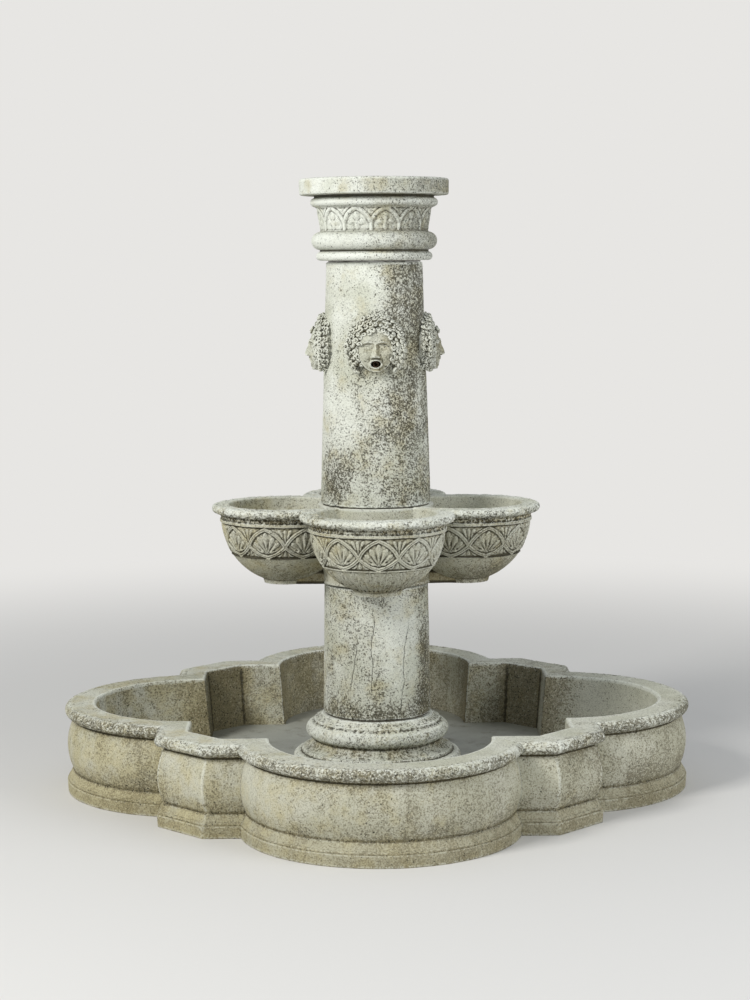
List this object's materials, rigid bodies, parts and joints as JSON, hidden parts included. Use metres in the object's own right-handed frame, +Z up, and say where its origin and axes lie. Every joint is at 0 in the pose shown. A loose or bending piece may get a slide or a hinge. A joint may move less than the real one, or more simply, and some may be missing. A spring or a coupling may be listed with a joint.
{
  "type": "pond fountain",
  "caption": "Cast stone pond fountain: lobed basin, moulded pedestal, tier of joined bowls, tapered column with spouting masks, moulded capital and a pump inside.",
  "frame": {"origin": "centre of the pond on the ground", "axes": "+Z up, front towards -Y, +X to the right seen from the front"},
  "size_m": [1.8498, 1.8498, 1.786],
  "materials": {
    "cast_stone": "weathered, matte",
    "floor_stone": "damp, matte",
    "bedding": "matte putty",
    "stainless": "brushed",
    "brass": "dull",
    "copper": "dull, browned",
    "black_plastic": "satin",
    "pale_plastic": "satin",
    "ceramic": "polished",
    "rubber": "matte"
  },
  "bodies": {
    "fountain": {"pond_lobe_front": "cast_stone", "pond_lobe_right": "cast_stone", "pond_lobe_back": "cast_stone", "pond_lobe_left": "cast_stone", "pond_corner_front_right": "cast_stone", "pond_corner_back_right": "cast_stone", "pond_corner_back_left": "cast_stone", "pond_corner_front_left": "cast_stone", "pedestal_base": "cast_stone", "lower_column": "cast_stone", "bowl_tier": "cast_stone", "mask_column": "cast_stone", "mask_front": "cast_stone", "mask_right": "cast_stone", "mask_back": "cast_stone", "mask_left": "cast_stone", "pond_floor": "floor_stone", "setting_beds": "bedding", "dowels": "stainless", "casing_screws": "stainless", "hose_clamps": "stainless", "valve_body": "brass", "manifold": "brass", "drain_body": "brass", "riser_pipe": "copper", "spout_tube_front": "copper", "spout_tube_right": "copper", "spout_tube_back": "copper", "spout_tube_left": "copper", "pump_body": "black_plastic", "pump_casing": "black_plastic", "intake_screen": "black_plastic", "cord_gland": "black_plastic", "impeller_shaft": "ceramic", "pump_feet": "rubber", "tier_grommet": "rubber", "riser_hose": "rubber"},
    "rotor": {"impeller": "pale_plastic"},
    "valve": {"valve_ball": "brass", "valve_lever": "stainless", "lever_nut": "brass"},
    "plug": {"drain_plug": "rubber"},
    "panel": {"access_panel": "cast_stone"},
    "cap": {"capital": "cast_stone"}
  },
  "joints": [
    {"name": "impeller_spin", "type": "hinge", "parent": "fountain", "child": "rotor", "pos_m": [0, 0, 0.11], "axis": [0, 1, 0], "continuous": true},
    {"name": "valve_turn", "type": "hinge", "parent": "fountain", "child": "valve", "pos_m": [0, 0, 0.38], "axis": [0, 1, 0], "range_deg": [0, 90]},
    {"name": "drain_plug_lift", "type": "slide", "parent": "fountain", "child": "plug", "axis": [0, 0, 1], "range_m": [0, 0.06]},
    {"name": "access_panel_draw", "type": "slide", "parent": "fountain", "child": "panel", "axis": [0, 1, 0], "range_m": [0, 0.12]},
    {"name": "capital_lift", "type": "slide", "parent": "fountain", "child": "cap", "axis": [0, 0, 1], "range_m": [0, 0.15]}
  ]
}
